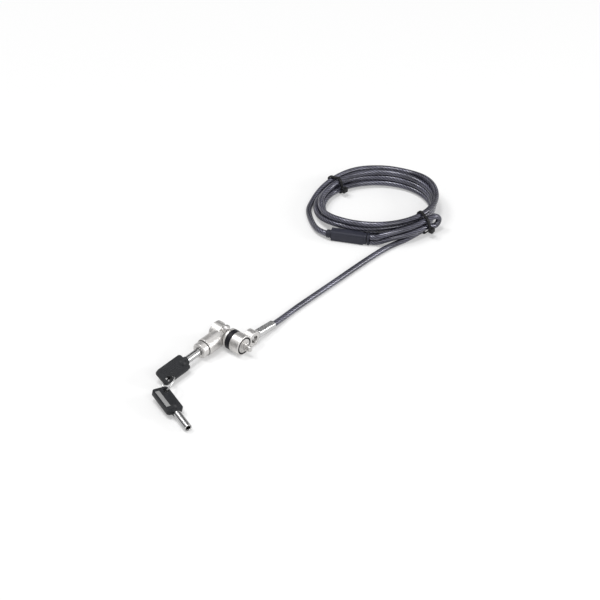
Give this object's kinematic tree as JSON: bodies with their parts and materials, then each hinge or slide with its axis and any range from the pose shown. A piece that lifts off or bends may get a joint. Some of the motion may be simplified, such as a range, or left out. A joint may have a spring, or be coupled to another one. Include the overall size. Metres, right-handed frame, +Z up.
{
  "type": "laptop cable lock",
  "caption": "Cable lock for a laptop: T-bar lock head with a pivoting key barrel and swivelling eye, tubular keys on a ring, and a coiled vinyl-covered steel cable with an end loop.",
  "frame": {"origin": "centre of the nose core's front face, where the lock head meets the laptop's case", "axes": "+X out of the nose into the security slot, +Y towards the cable, +Z up from the table; the key barrel points to -Y at rest"},
  "size_m": [0.14, 0.4096, 0.0244],
  "materials": {
    "zinc": "satin nickel plate",
    "dark": "satin black",
    "steel": "polished steel",
    "spring": "drawn wire",
    "brass": "turned",
    "bow": "fine moulded grain",
    "panel": "smooth",
    "vinyl": "smoked vinyl over laid wire",
    "cover": "moulded",
    "tie": "nylon"
  },
  "bodies": {
    "cable": {"swivel_stud": "steel", "ferrule": "steel", "cable_lead": "vinyl", "cable_coil": "vinyl", "cable_tail": "vinyl", "anchor_loop": "vinyl", "crimp_sleeve": "steel", "crimp_cover": "cover", "front_tie": "tie", "back_tie": "tie"},
    "collar": {"swivel_collar": "zinc"},
    "nose": {"nose_core": "zinc", "grip_ring": "dark", "collar_clip": "spring", "tbar_spring": "spring"},
    "pivot": {"pivot_block": "zinc", "t_bar": "steel", "hinge_pin": "steel"},
    "body": {"lock_body": "zinc", "return_spring": "spring"},
    "cylinder": {"lock_cylinder": "zinc", "driver_block": "brass", "driver_pins": "brass", "pin_springs": "spring", "retaining_pin": "steel"},
    "rotor": {"rotor": "brass", "key_pins": "steel", "drive_cam": "steel"},
    "key": {"key_shank": "steel", "key_bow": "bow", "key_panel": "panel"},
    "ring": {"key_ring": "steel"},
    "spare": {"spare_shank": "steel", "spare_bow": "bow", "spare_panel": "panel"}
  },
  "joints": [
    {"name": "cable_swivel", "type": "hinge", "parent": "cable", "child": "collar", "pos_m": [-0.0045, 0, 0], "axis": [0, 0.9938, -0.1115], "continuous": true},
    {"name": "collar_swivel", "type": "hinge", "parent": "collar", "child": "nose", "pos_m": [0, 0, 0], "axis": [1, 0, 0], "continuous": true},
    {"name": "tbar_turn", "type": "hinge", "parent": "nose", "child": "pivot", "pos_m": [0, 0, 0], "axis": [1, 0, 0], "range_deg": [0, 90]},
    {"name": "head_pivot", "type": "hinge", "parent": "pivot", "child": "body", "pos_m": [-0.0212, 0, 0], "axis": [0, 0, 1], "range_deg": [-90, 0]},
    {"name": "cylinder_push", "type": "slide", "parent": "body", "child": "cylinder", "axis": [0, 1, 0], "range_m": [0, 0.004], "stiffness_N_per_m": 500, "springref_m": -0.002, "deforming": ["return_spring"]},
    {"name": "key_turn", "type": "hinge", "parent": "cylinder", "child": "rotor", "pos_m": [-0.0263, 0, -0.001], "axis": [0, 1, 0], "range_deg": [0, 90]},
    {"name": "key_pull", "type": "slide", "parent": "rotor", "child": "key", "axis": [0, -1, 0], "range_m": [0, 0.02]},
    {"name": "ring_swing", "type": "hinge", "parent": "key", "child": "ring", "pos_m": [-0.02282, -0.0766, -0.00317], "axis": [0.5299, 0, 0.848], "range_deg": [-75, 75]},
    {"name": "spare_swing", "type": "hinge", "parent": "ring", "child": "spare", "pos_m": [-0.01183, -0.0913, -0.00155], "axis": [-0.1334, -0.1036, -0.9856], "range_deg": [-75, 75]}
  ]
}
